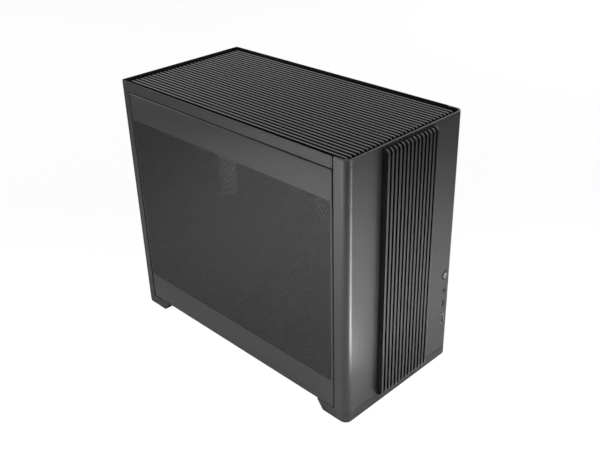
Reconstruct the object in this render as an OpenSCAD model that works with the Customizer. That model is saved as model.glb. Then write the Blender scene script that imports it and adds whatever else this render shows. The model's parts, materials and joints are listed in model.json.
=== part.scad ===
// Compact tower case for a small desktop computer board.
// Steel chassis with lift-off perforated side panels, a moulded front with a ribbed strip,
// and a ribbed vent grille let into the top.
// Millimetres, +Z up, front towards -Y. The origin is on the floor, under the middle.

/* [Case body] */
// Width over the side panels
body_w = 205; // [202:1:230]
// Depth from the flat front face to the rear face
body_d = 407; // [400:1:450]
// Height from the floor to the top rim
body_h = 354; // [350:1:400]
// Height of the steel underside above the floor
underside_z = 15; // [12:0.5:25]
// Seam between the outer parts, as seen
seam = 1.2; // [0.8:0.1:2]
// Clearance between parts that come apart
part_gap = 0.4; // [0.3:0.05:0.6]

/* [Steel sheet] */
// Thickness of the side panels
panel_t = 1; // [0.8:0.1:1.4]
// Thickness of the chassis steel
sheet_t = 1; // [0.8:0.1:1.4]
// Space between a side panel and the chassis flanges
flange_gap = 2; // [1.8:0.1:3]
// Height of the chassis flanges that carry the panel sockets
flange_h = 22; // [18:1:28]
// Height of the side bands of the top frame
band_h = 14; // [13:0.5:20]
// Depth of the rear columns beside the panels
column_d = 13.5; // [10:0.5:18]
// Width of the inner return of each rear column
return_w = 6; // [4:0.5:8]
// Radius of the upright rear corners
rear_r = 3; // [2:0.5:6]

/* [Side panel perforation] */
// Plain band above the perforated field
field_above = 38; // [30:1:50]
// Plain band below the perforated field
field_below = 41; // [30:1:50]
// Plain edge in front of and behind the perforated field
field_side = 3; // [2:0.5:10]
// Pitch of the openings in the perforated field
opening_pitch = 6.4; // [6.2:0.2:12]
// Width of each opening
opening_w = 2.6; // [1.5:0.1:3]
// Solid web between the upper and lower rows of openings
opening_web = 3; // [2:0.5:10]

/* [Panel studs] */
// Radius of the ball on each stud
ball_r = 2.6; // [2:0.1:3.2]
// Radius of the stud's neck
neck_r = 1.6; // [1:0.1:1.9]
// Radius of the stud's foot on the panel
stud_foot_r = 5; // [3:0.5:7]
// Thickness of the stud's foot
stud_foot_t = 0.8; // [0.5:0.1:1]
// Depth of the ball's centre behind the face of the flange
ball_depth = 2.5; // [2.5:0.1:3]
// Wall of the snap socket round the ball
socket_wall = 1.8; // [1.2:0.1:2.5]
// Length of the snap socket
socket_l = 4.5; // [4:0.1:5]
// Distance of the studs from the panel's front and rear edges
stud_inset = 26; // [20:1:50]

/* [Front bezel] */
// Depth of the moulded front
bezel_d = 20; // [18:0.5:30]
// Wall of the moulded front
bezel_wall = 2.5; // [2:0.1:3.5]
// Radius of the upright front corners
corner_r = 9.5; // [7:0.5:10]
// Radius of the pegs that hold the front
peg_r = 3; // [2:0.25:4]
// Length of the pegs behind the front frame
peg_past = 3; // [2:0.5:5]
// Distance of the pegs from the centre line
peg_x = 74; // [68:1:75]
// Distance of the end pegs from the ends of the front
peg_end = 30; // [20:1:40]

/* [Ribbed front strip] */
// Number of ribs on the strip
strip_ribs = 14; // [8:1:16]
// Pitch of the strip's ribs
strip_pitch = 6.7; // [5:0.1:7]
// Width of one rib of the strip
strip_rib_w = 3.4; // [2:0.1:4.4]
// How far the ribs stand out of the flat front
strip_out = 8; // [4:0.5:12]
// Radius at the upper and lower ends of the ribs
strip_nose_r = 5.5; // [2:0.5:6]
// Distance from the top rim to the ribs
strip_top_gap = 3.5; // [2:0.5:12]
// Distance from the lower edge of the front to the ribs
strip_low_gap = 0.6; // [0.4:0.1:8]
// Width of the clamping flange round the strip's back
strip_flange = 3; // [2:0.5:6]

/* [Top grille] */
// Least space between the outer ribs and the grille's sides
top_side_gap = 5; // [4:0.5:12]
// Pitch of the top ribs
top_pitch = 6.57; // [5:0.01:6.6]
// Width of one top rib
top_rib_w = 3.2; // [2:0.1:4]
// Height of the top ribs above their plate
top_rib_h = 5.5; // [3:0.5:6.5]
// Depth of the rib tops below the rim
rib_recess = 1.9; // [0.5:0.1:3]
// Plain border in front of and behind the ribs
top_border = 8.8; // [6:0.2:15]
// Radius at the front and rear ends of the top ribs
top_nose_r = 2.5; // [1:0.25:3]
// Thickness of the grille's plate
grille_t = 2; // [1.5:0.1:2.5]
// Number of vent slots along each groove
groove_slots = 4; // [2:1:6]
// Cross bar between the vent slots
slot_bar = 8; // [4:0.5:15]
// Radius of the feet under the grille
grille_foot_r = 4; // [3:0.5:5]

/* [Feet] */
// Thickness of the rubber pads below the feet
pad_t = 1.5; // [1:0.25:3]
// Length of a rubber pad across the case
pad_l = 40; // [25:1:60]
// Width of a rubber pad
pad_w = 12; // [8:0.5:16]
// Length of the front foot on the floor
front_foot_l = 40; // [35:1:60]
// Length of the rear foot on the floor
rear_foot_l = 35; // [30:1:60]
// Run of the sloping inner face of a foot
foot_slope = 10; // [4:0.5:15]
// Inset of the rear foot's lower rear edge
foot_rake = 3.5; // [0:0.5:6]
// Wall of the hollow feet
foot_wall = 2.5; // [2:0.1:3.5]
// Inset of the pads from the side faces
pad_inset = 12; // [11:1:30]

/* [Board and rear openings] */
// Distance of the board tray from the right-hand side face
tray_inset = 9.6; // [9.2:0.1:14]
// Height of the stand-offs
standoff_h = 6.5; // [5:0.5:9]
// Radius of the stand-offs across their corners
standoff_r = 3.2; // [2.8:0.1:4]
// Radius of the threaded hole in a stand-off
standoff_hole_r = 1.4; // [1:0.1:1.6]
// Solid end of a stand-off below its threaded hole
standoff_end = 1; // [0.5:0.1:2]
// Height of the port opening
port_h = 158.75; // [150:0.25:160]
// Width of the port opening
port_w = 44.45; // [40:0.05:46]
// Height of the port opening above the base pan
port_above_base = 103.55; // [103.05:0.05:115]
// Distance from the stand-offs' tops to the port opening
port_off_board = 1; // [0:0.5:3]
// Width of the window behind the processor
window_w = 120; // [100:1:130]
// Height of the window behind the processor
window_h = 96; // [80:1:110]
// Distance of the window's centre from the rear stand-offs
window_back = 150; // [140:1:155]
// Drop of the window's lower edge below the port opening's top
window_drop = 156; // [150:1:165]
// Width of a cable opening in the tray
grommet_w = 24; // [20:1:30]
// Height of a cable opening in the tray
grommet_h = 70; // [50:1:80]
// Width of the grommets' lips
grommet_lip = 2.5; // [1.5:0.1:3]
// Thickness of the grommets' lip
grommet_lip_t = 1.5; // [1:0.1:2]
// Distance of the cable openings from the front stand-offs
grommet_off = 26; // [20:1:30]
// Number of expansion slots
slot_count = 4; // [2:1:4]
// Pitch of the expansion slots
slot_pitch = 20.32; // [20:0.04:21]
// Height of an expansion slot's window
slot_h = 14.5; // [12:0.5:16]
// Length of an expansion slot's window
slot_l = 104; // [95:1:106]
// Width of a slot cover
cover_w = 18.4; // [17.5:0.1:19]
// Thickness of a slot cover
cover_t = 0.9; // [0.8:0.1:1.2]
// Overlap of a slot cover past its window at the screwed end
cover_over = 11; // [9:0.5:14]
// Length of the screwed tab and of its shelf
tab_l = 12; // [11.5:0.5:16]

/* [Fans] */
// Size of a fan across its frame
fan_size = 120; // [118:1:120]
// Depth of a fan
fan_t = 25; // [20:1:28]
// Spacing of a fan's screw holes
fan_bolts = 105; // [104:0.5:106]
// Radius of a fan's screw holes
fan_hole_r = 2.15; // [2:0.05:2.4]
// Radius of the fan's air opening
fan_bore_r = 57; // [54:0.5:57.5]
// Radius of the fan's hub
hub_r = 20; // [16:1:24]
// Number of fan blades
blades = 9; // [5:1:11]
// Pitch angle of the blades
blade_angle = 38; // [25:1:45]
// Radius of the fan's shaft
shaft_r = 1.5; // [1.2:0.1:2]
// Distance of the top fan opening's centre in front of the rear face
top_fan_back = 92; // [88:1:120]
// Space between the rear fan and the port opening
fan_port_gap = 10; // [2:0.5:12]
// Drop of the rear fan's top below the top of the port opening
fan_drop = 10; // [0:0.5:14]
// Height of the screw heads on the rear face
head_t = 2; // [1.5:0.1:2.5]
// Radius of the screw heads on the rear face
head_r = 3.6; // [3:0.1:4]
// Length of the fan screws behind the rear sheet
fan_screw_l = 9; // [6:0.5:12]

/* [Power supply bracket] */
// Length of the power supply's face
psu_l = 150; // [148:1:152]
// Width of the power supply's face
psu_w = 86; // [85:1:88]
// Spacing of its screw holes along the face
psu_bolts_l = 138; // [136:0.5:140]
// Spacing of its screw holes across the face
psu_bolts_w = 64; // [62:0.5:66]
// Radius of its screw holes
psu_hole_r = 2; // [1.8:0.1:2.4]
// Room for the power supply between the bracket and the front frame
psu_room = 147; // [144:1:155]
// Inset of the power supply from the left side face
psu_inset = 13; // [12:0.5:20]
// Length of the bracket's upper flange
psu_flange = 18; // [12:1:30]
// Distance of the bracket's hanging screws from the power supply's sides
psu_screw_inset = 10; // [8:1:20]

/* [Drive bracket] */
// Width between the walls of the drive bracket
drive_w = 102.4; // [102:0.1:104]
// Length of the drive bracket
drive_l = 120; // [110:1:130]
// Height of the walls of the drive bracket
drive_h = 22; // [16:1:26]
// Distance of the drive holes along the bracket
drive_bolts_l = 44.5; // [44:0.5:60]
// Distance of the drive holes across the bracket
drive_bolts_w = 95.2; // [76:0.2:95.6]
// Distance of the drive's centre from the board tray
drive_off_tray = 76; // [68:0.5:80]
// Width of each foot of the drive bracket
drive_foot_w = 13; // [11:0.5:14]
// Length of each foot of the drive bracket
drive_foot_l = 14; // [10:1:20]

/* [Front ports] */
// Distance of the ports from the right-hand side face
io_inset = 14.5; // [14:0.5:16]
// Height of the power button's centre
button_z = 131; // [128:1:160]
// Height of the audio jack's centre
jack_z = 107; // [104:1:110]
// Height of the small data port's centre
small_port_z = 87; // [84:1:90]
// Height of the large data port's centre
large_port_z = 63; // [55:1:66]
// Radius of the power button
button_r = 6.5; // [5:0.25:7]
// Travel of the power button
button_travel = 1.5; // [0.5:0.1:1.8]
// How far the button stands out of the front
button_out = 0.5; // [0.2:0.1:1]
// Radius of the audio jack's bore
jack_bore_r = 1.8; // [1.76:0.02:1.9]
// Radius of the audio jack's face
jack_r = 3.2; // [2.6:0.1:4]
// Height of the large data port
large_port_h = 14; // [13:0.25:15]
// Width of the large data port
large_port_w = 6.4; // [6:0.1:7]
// Height of the small data port
small_port_h = 9; // [8.5:0.1:10]
// Width of the small data port
small_port_w = 3.4; // [3:0.1:4]
// Wall of the port shells
shell_t = 0.4; // [0.3:0.05:0.5]
// Depth of the port board behind the front face
board_depth = 14; // [13:0.25:15]
// Thickness of the port board
board_t = 1.6; // [1:0.1:2]

/* [Mains inlet] */
// Height of the inlet's centre above the underside
inlet_rise = 45; // [30:1:110]
// Distance of the inlet from the left side face
inlet_inset = 19.5; // [17:0.5:35]
// Length of the inlet's body, upright
inlet_w = 27; // [26:0.5:29]
// Width of the inlet's body
inlet_h = 20; // [19:0.5:21]
// Spacing of the inlet's screws
inlet_bolts = 40; // [39:0.5:41]
// Length of the inlet's body inside the case
inlet_l = 24; // [20:1:30]

/* [Hidden] */
$fn = 48;
front_y = (strip_out - body_d - head_t) / 2;
rear_y = front_y + body_d;
half_w = body_w / 2;
band_z = body_h - band_h;
flange_x = half_w - panel_t - flange_gap;
frame_y = front_y + bezel_d + part_gap;
bay_y0 = frame_y + sheet_t;
bay_y1 = rear_y - sheet_t;
pan_z = underside_z + sheet_t;

panel_y0 = front_y + bezel_d + seam;
panel_y1 = rear_y - column_d - seam;
panel_z0 = underside_z + part_gap;
panel_z1 = band_z - seam;
field_y0 = panel_y0 + field_side;
field_y1 = panel_y1 - field_side;
field_z0 = panel_z0 + field_below;
field_z1 = panel_z1 - field_above;
stud_ys = [panel_y0 + stud_inset, panel_y1 - stud_inset];
stud_zs = [underside_z + flange_h / 2, band_z - flange_h / 2];
socket_bore_r = ball_r + part_gap;
socket_r = socket_bore_r + socket_wall;
ball_x = flange_x - ball_depth;

strip_w = (strip_ribs - 1) * strip_pitch + strip_rib_w;
strip_z0 = underside_z + part_gap + strip_low_gap;
strip_z1 = body_h - strip_top_gap;
peg_zs = [panel_z0 + peg_end, (panel_z0 + body_h) / 2, body_h - peg_end];
strip_flange_t = 2;
peg_hole_r = peg_r + part_gap;

rib_top = body_h - rib_recess;
grille_top = rib_top - top_rib_h;
grille_z = grille_top - grille_t;
grille_half_w = half_w - bezel_wall - part_gap;
grille_y0 = front_y + bezel_wall + part_gap;
top_ribs = 1 + floor((2 * (grille_half_w - top_side_gap) - top_rib_w) / top_pitch);
grille_y1 = rear_y - sheet_t - part_gap;
top_rib_y0 = front_y + top_border;
top_rib_y1 = rear_y - top_border;
ledge_z = grille_z - part_gap - bezel_wall;
seat_z0 = panel_z0 + bezel_wall + part_gap + strip_flange;
seat_z1 = ledge_z - part_gap - strip_flange;
grille_foot_x = half_w - 12;
grille_foot_ys = [bay_y0 + 14, rear_y - 16];

front_foot_y1 = front_y + front_foot_l;
rear_foot_y0 = rear_y - rear_foot_l - foot_rake;
pad_x = half_w - pad_inset - pad_l / 2;
front_pad_y = front_y + front_foot_l / 2;
rear_pad_y = rear_y - foot_rake - rear_foot_l / 2;
pad_ys = [front_pad_y, rear_pad_y];

tray_x = half_w - tray_inset;
tray_flange_x = flange_x - sheet_t - part_gap;
board_x = tray_x - standoff_h;
port_x1 = board_x - port_off_board;
port_z0 = pan_z + port_above_base;
port_z1 = port_z0 + port_h;
// Stand-off grid of the small board format: rows down from the top, columns in from the rear
standoff_cols = [0, 154.94, 227.33];
standoff_rows = [0, 157.48, 203.2];
standoff_y = rear_y - 12;
standoff_z = port_z1 - 4;
slot_x1 = board_x - 1;
slot_x0 = slot_x1 - slot_l;
slot_z = port_z0 - 13;
shelf_x = slot_x0 - cover_over;
shelf_z1 = slot_z + slot_pitch / 2;
shelf_z0 = slot_z - (slot_count - 0.5) * slot_pitch;
cover_x1 = tray_x - 1;
slot_screw_r = 1.7;
slot_head_r = 4.6;
slot_head_l = 6;

fan_x = port_x1 - port_w - fan_port_gap - fan_size / 2;
fan_z = port_z1 - fan_drop - fan_size / 2;
fan_y = bay_y1 - fan_t;
guard_bars = 4;
guard_ring_w = 2.4;
guard_rings = [0.42, 0.6, 0.78];
blade_r = fan_bore_r - 1.2;
top_fan_x = 0;
top_fan_y = rear_y - top_fan_back;
screw_gap = 0.05;

psu_y = bay_y0 + psu_room;
psu_x = psu_inset + psu_w / 2 - half_w;
psu_z = band_z - part_gap - psu_l / 2 - 4;
psu_edge = 3;
psu_screw_r = 1.8;
psu_head_t = 1.5;
psu_screw_l = 4;
hook_r = 2;

drive_x = tray_x - drive_off_tray;
drive_y = bay_y0 + 14;
drive_lift = 4;
drive_hole_r = 1.9;

io_x = half_w - io_inset;
board_y = front_y + board_depth;
io_board_w = 15;
io_z0 = large_port_z - large_port_h / 2 - 4;
io_z1 = button_z + button_r + 3;
io_screw_zs = [(large_port_z + small_port_z) / 2 + 1.2, (jack_z + button_z) / 2 - 3.6];
io_screw_r = 1.2;
boss_r = 2.5;
button_flange = 0.6;
button_flange_t = 1.2;
button_gap = 0.3;
cap_back = front_y + bezel_wall + 2 * part_gap;
stem_r = 2;
switch_l = 6;
switch_y = board_y - switch_l;

inlet_x = inlet_inset - half_w;
inlet_z = underside_z + inlet_rise;
inlet_flange_t = 2;
inlet_wall = 2;
prong_l = 14;
inlet_hole_r = 1.75;
inlet_head_r = 3;
inlet_screw_l = 3;

grommet_y = standoff_y - standoff_cols[2] - grommet_off;
grommet_zs = [for (part = [0.23, 0.6]) pan_z + part * (band_z - pan_z)];
window_y = standoff_y - window_back;
window_z = port_z1 - window_drop;

// Plan outline with rounded corners, drawn in XY: half width, front and rear, two radii.
module plan(half, y0, y1, r0, r1) {
    translate([-half, y0 + r0]) square([2 * half, y1 - r1 - y0 - r0]);
    translate([-half + r0, y0]) square([2 * (half - r0), r0 + 1]);
    translate([-half + r1, y1 - r1 - 1]) square([2 * (half - r1), r1 + 1]);
    for (side = [-1, 1]) {
        translate([side * (half - r0), y0 + r0]) circle(r0);
        translate([side * (half - r1), y1 - r1]) circle(r1);
    }
}

// A box given by its low and high corners.
module block(low, high) {
    translate(low) cube([for (i = [0:2]) high[i] - low[i]]);
}

// A profile drawn in (y, z), run along X from x0 to x1.
module run_x(x0, x1) {
    translate([x0, 0, 0]) rotate([90, 0, 90]) linear_extrude(x1 - x0) children();
}

// Cylinders along X and along Y from one end to the other.
module bar_x(x0, x1, y, z, r) {
    translate([x0, y, z]) rotate([0, 90, 0]) cylinder(h = x1 - x0, r = r);
}

module bar_y(y0, y1, x, z, r) {
    translate([x, y0, z]) rotate([-90, 0, 0]) cylinder(h = y1 - y0, r = r);
}

// Slot outline with round ends: length along the first axis.
module stadium(l, w) {
    square([l - w, w], center = true);
    for (side = [-1, 1]) translate([side * (l - w) / 2, 0]) circle(w / 2);
}

// Floor of the chassis, with an upright flange along each side and vent slots.
module base_pan() {
    vent_w = 3.6;
    vent_l = 56;
    color("dimgray") difference() {
        union() {
            block([-flange_x, bay_y0, underside_z], [flange_x, bay_y1, pan_z]);
            for (side = [-1, 1]) {
                x = side * (flange_x - sheet_t / 2);
                translate([x - sheet_t / 2, bay_y0, underside_z])
                    cube([sheet_t, panel_y1 + seam - bay_y0, flange_h]);
            }
        }
        for (column = [-1, 1], row = [-7:7])
            translate([column * 36 - vent_l / 2, 40 + row * 8 - vent_w / 2, underside_z - 1])
                cube([vent_l, vent_w, sheet_t + 2]);
        socket_holes(stud_zs[0]);
    }
}

// Holes for the four sockets at one height, through both side flanges.
module socket_holes(z) {
    for (y = stud_ys) bar_x(-half_w, half_w, y, z, socket_r);
}

// Steel plate behind the moulded front, with side returns and bosses for the port board.
module front_frame() {
    opening_x = 58;
    return_l = 12;
    web_z = (pan_z + band_z) / 2;
    color("dimgray") difference() {
        union() {
            block([-flange_x, frame_y, underside_z], [flange_x, frame_y + sheet_t, band_z]);
            for (side = [-1, 1])
                translate([side * (flange_x - sheet_t / 2) - sheet_t / 2, frame_y,
                    underside_z + flange_h + part_gap])
                    cube([sheet_t, return_l, band_z - underside_z - 2 * (flange_h + part_gap)]);
            for (z = io_screw_zs) bar_y(board_y + board_t, frame_y + 0.5, io_x, z, boss_r);
        }
        for (side = [-1, 1], z = peg_zs)
            bar_y(frame_y - 1, frame_y + sheet_t + 1, side * peg_x, z, peg_hole_r);
        block([-opening_x, frame_y - 1, underside_z + 30],
            [opening_x, frame_y + sheet_t + 1, web_z - 8]);
        block([-opening_x, frame_y - 1, web_z + 8],
            [opening_x, frame_y + sheet_t + 1, band_z - 30]);
        for (z = io_screw_zs)
            bar_y(board_y, frame_y + sheet_t + 1, io_x, z, io_screw_r + screw_gap);
    }
}

// Rear plate with its side columns, port opening, slots, fan guard and inlet opening.
module rear_panel() {
    color("dimgray") difference() {
        union() {
            translate([0, 0, underside_z]) linear_extrude(band_z - underside_z) difference() {
                plan(half_w, rear_y - 40, rear_y, 1, rear_r);
                plan(half_w - sheet_t, rear_y - 45, rear_y - sheet_t, 1, rear_r - sheet_t);
                translate([-half_w - 1, rear_y - 50])
                    square([body_w + 2, 50 - column_d]);
            }
            for (side = [-1, 1])
                translate([side * (half_w - return_w / 2) - return_w / 2, rear_y - column_d, pan_z])
                    cube([return_w, sheet_t, band_z - pan_z]);
            block([shelf_x - sheet_t, rear_y - sheet_t - tab_l, shelf_z0],
                [shelf_x, rear_y, shelf_z1]);
        }
        block([port_x1 - port_w, rear_y - 5, port_z0], [port_x1, rear_y + 1, port_z1]);
        translate([fan_x - fan_size / 2 - part_gap, fan_y - 1, fan_z - fan_size / 2 - part_gap])
            cube([fan_size + 2 * part_gap, fan_t + 1, fan_size + 2 * part_gap]);
        for (i = [0:slot_count - 1])
            translate([slot_x0, rear_y - 5, slot_z - i * slot_pitch - slot_h / 2])
                cube([slot_l, 6, slot_h]);
        slot_screw_bores(slot_screw_r + screw_gap);
        translate([fan_x, rear_y + 1, fan_z]) rotate([90, 0, 0])
            linear_extrude(sheet_t + 2) fan_guard_gaps();
        for (sx = [-1, 1], sz = [-1, 1])
            bar_y(rear_y - 5, rear_y + 1, fan_x + sx * fan_bolts / 2,
                fan_z + sz * fan_bolts / 2, fan_hole_r);
        at_inlet() {
            block([-inlet_w / 2, rear_y - 5, -inlet_h / 2], [inlet_w / 2, rear_y + 1, inlet_h / 2]);
            for (side = [-1, 1]) bar_y(rear_y - 5, rear_y + 1, side * inlet_bolts / 2, 0, inlet_hole_r);
        }
    }
}

// Air gaps of the stamped fan guard: rings cut by four bars.
module fan_guard_gaps() {
    difference() {
        circle(fan_bore_r);
        for (part = guard_rings) difference() {
            circle(fan_bore_r * part + guard_ring_w / 2);
            circle(fan_bore_r * part - guard_ring_w / 2);
        }
        circle(fan_bore_r * 0.24);
        for (i = [0:guard_bars - 1]) rotate(45 + i * 360 / guard_bars)
            translate([0, -1.6]) square([fan_bore_r + 1, 3.2]);
    }
}

// Screw bores through the slot covers' tabs and their shelf.
module slot_screw_bores(r) {
    for (i = [0:slot_count - 1])
        bar_x(shelf_x - 3, shelf_x + 1, rear_y - sheet_t - tab_l / 2 - 0.5,
            slot_z - i * slot_pitch, r);
}

// Tray at the top: side bands up to the rim, flanges below, a fan opening and vent slots.
module top_frame() {
    top_vents = 12;
    top_vent_w = 3.6;
    top_vent_l = 130;
    color("dimgray") difference() {
        union() {
            translate([0, 0, band_z]) linear_extrude(band_h) difference() {
                plan(half_w, panel_y0 - 20, rear_y, 1, rear_r);
                plan(half_w - sheet_t, panel_y0 - 30, rear_y - sheet_t, 1, rear_r - sheet_t);
                translate([-half_w - 1, panel_y0 - 40]) square([body_w + 2, 40]);
            }
            translate([0, 0, band_z]) linear_extrude(sheet_t) difference() {
                plan(half_w, frame_y - 10, rear_y, 1, rear_r);
                translate([-half_w - 1, frame_y - 20]) square([body_w + 2, 20]);
                for (side = [-1, 1])
                    translate([side * half_w - bezel_wall - 1, frame_y - 1])
                        square([2 * bezel_wall + 2, panel_y0 - frame_y + 1]);
            }
            for (side = [-1, 1])
                translate([side * (flange_x - sheet_t / 2) - sheet_t / 2, bay_y0, band_z - flange_h])
                    cube([sheet_t, panel_y1 + seam - bay_y0, flange_h + sheet_t]);
        }
        translate([top_fan_x, top_fan_y, band_z - 1]) cylinder(h = sheet_t + 2, r = fan_bore_r);
        for (sx = [-1, 1], sy = [-1, 1])
            translate([top_fan_x + sx * fan_bolts / 2, top_fan_y + sy * fan_bolts / 2, band_z - 1])
                cylinder(h = sheet_t + 2, r = fan_hole_r);
        for (i = [0:top_vents - 1])
            translate([-top_vent_l / 2, bay_y0 + 16 + i * 8, band_z - 1])
                cube([top_vent_l, top_vent_w, sheet_t + 2]);
        socket_holes(stud_zs[1]);
        for (x = psu_screw_xs()) translate([x, psu_y - psu_flange / 2, band_z - 1])
            cylinder(h = sheet_t + 2, r = psu_screw_r + screw_gap);
    }
}

function psu_screw_xs() = [for (side = [-1, 1]) psu_x + side * (psu_w / 2 - psu_screw_inset)];

// Upright plate that carries the board, with the processor window and cable openings.
module motherboard_tray() {
    color("dimgray") difference() {
        union() {
            block([tray_x, bay_y0, pan_z], [tray_x + sheet_t, bay_y1, band_z]);
            for (z = [pan_z, band_z - sheet_t])
                block([tray_x, bay_y0 + 14, z], [tray_flange_x, bay_y1 - column_d, z + sheet_t]);
        }
        translate([tray_x - 1, window_y - window_w / 2, window_z])
            cube([sheet_t + 2, window_w, window_h]);
        for (z = grommet_zs) grommet_opening(tray_x - 1, sheet_t + 2, z, 0);
    }
}

// Cable opening of the tray at one height, grown by extra all round.
module grommet_opening(x, l, z, extra) {
    translate([x, grommet_y, z]) rotate([90, 0, 90]) linear_extrude(l)
        rotate(90) stadium(grommet_h + 2 * extra, grommet_w + 2 * extra);
}

// Threaded hexagonal stand-offs for the board.
module standoffs() {
    color("goldenrod") for (col = standoff_cols, row = standoff_rows)
        translate([board_x, standoff_y - col, standoff_z - row]) rotate([0, 90, 0])
            difference() {
                cylinder(h = standoff_h, r = standoff_r, $fn = 6);
                translate([0, 0, -1])
                    cylinder(h = standoff_h + 1 - standoff_end, r = standoff_hole_r);
            }
}

// Plate that the power supply is screwed to, hung from the top frame.
module psu_bracket() {
    color("dimgray") difference() {
        union() {
            block([psu_x - psu_w / 2 - psu_edge, psu_y - sheet_t, psu_z - psu_l / 2 - psu_edge],
                [psu_x + psu_w / 2 + psu_edge, psu_y, band_z]);
            block([psu_x - psu_w / 2 - psu_edge, psu_y - psu_flange, band_z - sheet_t],
                [psu_x + psu_w / 2 + psu_edge, psu_y, band_z]);
            block([psu_x + psu_w / 2 + psu_edge - sheet_t, psu_y - psu_flange,
                psu_z - psu_l / 2 - psu_edge], [psu_x + psu_w / 2 + psu_edge, psu_y, band_z]);
        }
        block([psu_x - psu_w / 2 + 6, psu_y - 5, psu_z - psu_bolts_l / 2 + 8],
            [psu_x + psu_w / 2 - 6, psu_y + 1, psu_z + psu_bolts_l / 2 - 8]);
        for (sx = [-1, 1], sz = [-1, 1])
            bar_y(psu_y - 5, psu_y + 1, psu_x + sx * psu_bolts_w / 2,
                psu_z + sz * psu_bolts_l / 2, psu_hole_r);
        for (x = psu_screw_xs()) translate([x, psu_y - psu_flange / 2, band_z - 5])
            cylinder(h = 6, r = psu_screw_r + screw_gap);
    }
}

// The two screws that hang the bracket from the top frame.
module psu_bracket_screws() {
    color("silver") for (x = psu_screw_xs()) translate([x, psu_y - psu_flange / 2, 0]) {
        translate([0, 0, band_z + sheet_t]) cylinder(h = psu_head_t, r = head_r);
        translate([0, 0, band_z - psu_screw_l])
            cylinder(h = sheet_t + psu_screw_l, r = psu_screw_r);
    }
}

// Channel for one hard drive, standing on four feet on the base.
module drive_bracket() {
    x0 = drive_x - drive_w / 2;
    x1 = drive_x + drive_w / 2;
    z0 = pan_z + drive_lift;
    color("dimgray") difference() {
        union() {
            block([x0 - sheet_t, drive_y, z0], [x1 + sheet_t, drive_y + drive_l, z0 + sheet_t]);
            block([x0 - sheet_t, drive_y, z0], [x0, drive_y + drive_l, z0 + drive_h]);
            block([x1, drive_y, z0], [x1 + sheet_t, drive_y + drive_l, z0 + drive_h]);
            for (x = [x0 - sheet_t, x1], y = [drive_y, drive_y + drive_l - drive_foot_l])
                block([x, y, pan_z], [x + sheet_t, y + drive_foot_l, z0 + sheet_t]);
            for (side = [-1, 1], y = [drive_y, drive_y + drive_l - drive_foot_l])
                translate([drive_x + side * (drive_w / 2 + drive_foot_w / 2) - drive_foot_w / 2, y, pan_z])
                    cube([drive_foot_w, drive_foot_l, sheet_t]);
        }
        for (sx = [-1, 1], sy = [-1, 1])
            translate([drive_x + sx * drive_bolts_w / 2,
                drive_y + drive_l / 2 + sy * drive_bolts_l / 2, z0 - 1])
                cylinder(h = sheet_t + 2, r = drive_hole_r);
        drive_screw_places() translate([0, 0, pan_z - 1]) cylinder(h = sheet_t + 2, r = 1.75);
    }
}

module drive_screw_places() {
    for (side = [-1, 1], y = [drive_y + drive_foot_l / 2, drive_y + drive_l - drive_foot_l / 2])
        translate([drive_x + side * (drive_w / 2 + drive_foot_w - 5), y, 0]) children();
}

// The four screws of the drive bracket.
module drive_bracket_screws() {
    color("silver") drive_screw_places() {
        translate([0, 0, pan_z]) cylinder(h = sheet_t, r = 1.7);
        translate([0, 0, pan_z + sheet_t]) cylinder(h = 1.8, r = 3);
    }
}

// Bent steel cover of one expansion slot, inside the rear panel.
module slot_cover(i) {
    z = slot_z - i * slot_pitch;
    tab_z = min(cover_w, slot_pitch - 1) / 2;
    color("dimgray") difference() {
        union() {
            block([shelf_x, bay_y1 - cover_t, z - cover_w / 2], [cover_x1, bay_y1, z + cover_w / 2]);
            block([shelf_x - sheet_t - cover_t, bay_y1 - tab_l - cover_t, z - tab_z],
                [shelf_x - sheet_t, bay_y1 - tab_l / 6, z + tab_z]);
            block([shelf_x - sheet_t - cover_t, bay_y1 - tab_l - cover_t, z - tab_z],
                [shelf_x + cover_t, bay_y1 - tab_l, z + tab_z]);
            block([shelf_x, bay_y1 - tab_l - cover_t, z - tab_z],
                [shelf_x + cover_t, bay_y1, z + tab_z]);
        }
        slot_screw_bores(slot_screw_r + screw_gap);
        for (k = [0:9]) translate([slot_x0 + slot_l * (k + 0.5) / 10 - 3, bay_y1 - 3, z - 5])
            cube([3, 5, 10]);
    }
}

// Thumb screws of the slot covers.
module slot_screws() {
    y = rear_y - sheet_t - tab_l / 2 - 0.5;
    head_x = shelf_x - sheet_t - cover_t;
    color("silver") for (i = [0:slot_count - 1]) {
        bar_x(head_x, shelf_x + cover_t, y, slot_z - i * slot_pitch, slot_screw_r);
        bar_x(head_x - slot_head_l, head_x, y, slot_z - i * slot_pitch, slot_head_r);
    }
}

// Places a fan part, drawn along +Z with the outlet side up, behind the rear guard.
module in_rear_fan() {
    translate([fan_x, fan_y, fan_z]) rotate([-90, 0, 0]) children();
}

// Fan housing: square frame, four struts, hub plate and bearing tube.
module fan_frame() {
    color("black") in_rear_fan() difference() {
        union() {
            linear_extrude(fan_t) difference() {
                square(fan_size, center = true);
                circle(fan_bore_r);
            }
            translate([0, 0, fan_t - 4]) {
                cylinder(h = 4, r = hub_r);
                for (i = [0:3]) rotate(i * 90) translate([hub_r - 2, -2.5, 0])
                    cube([fan_bore_r - hub_r + 3, 5, 4]);
            }
            translate([0, 0, 9]) cylinder(h = fan_t - 10, r = 4);
        }
        for (sx = [-1, 1], sy = [-1, 1])
            translate([sx * fan_bolts / 2, sy * fan_bolts / 2, -1])
                cylinder(h = fan_t + 2, r = fan_hole_r);
        translate([0, 0, 5]) cylinder(h = fan_t - 7, r = shaft_r + screw_gap);
    }
}

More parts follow.
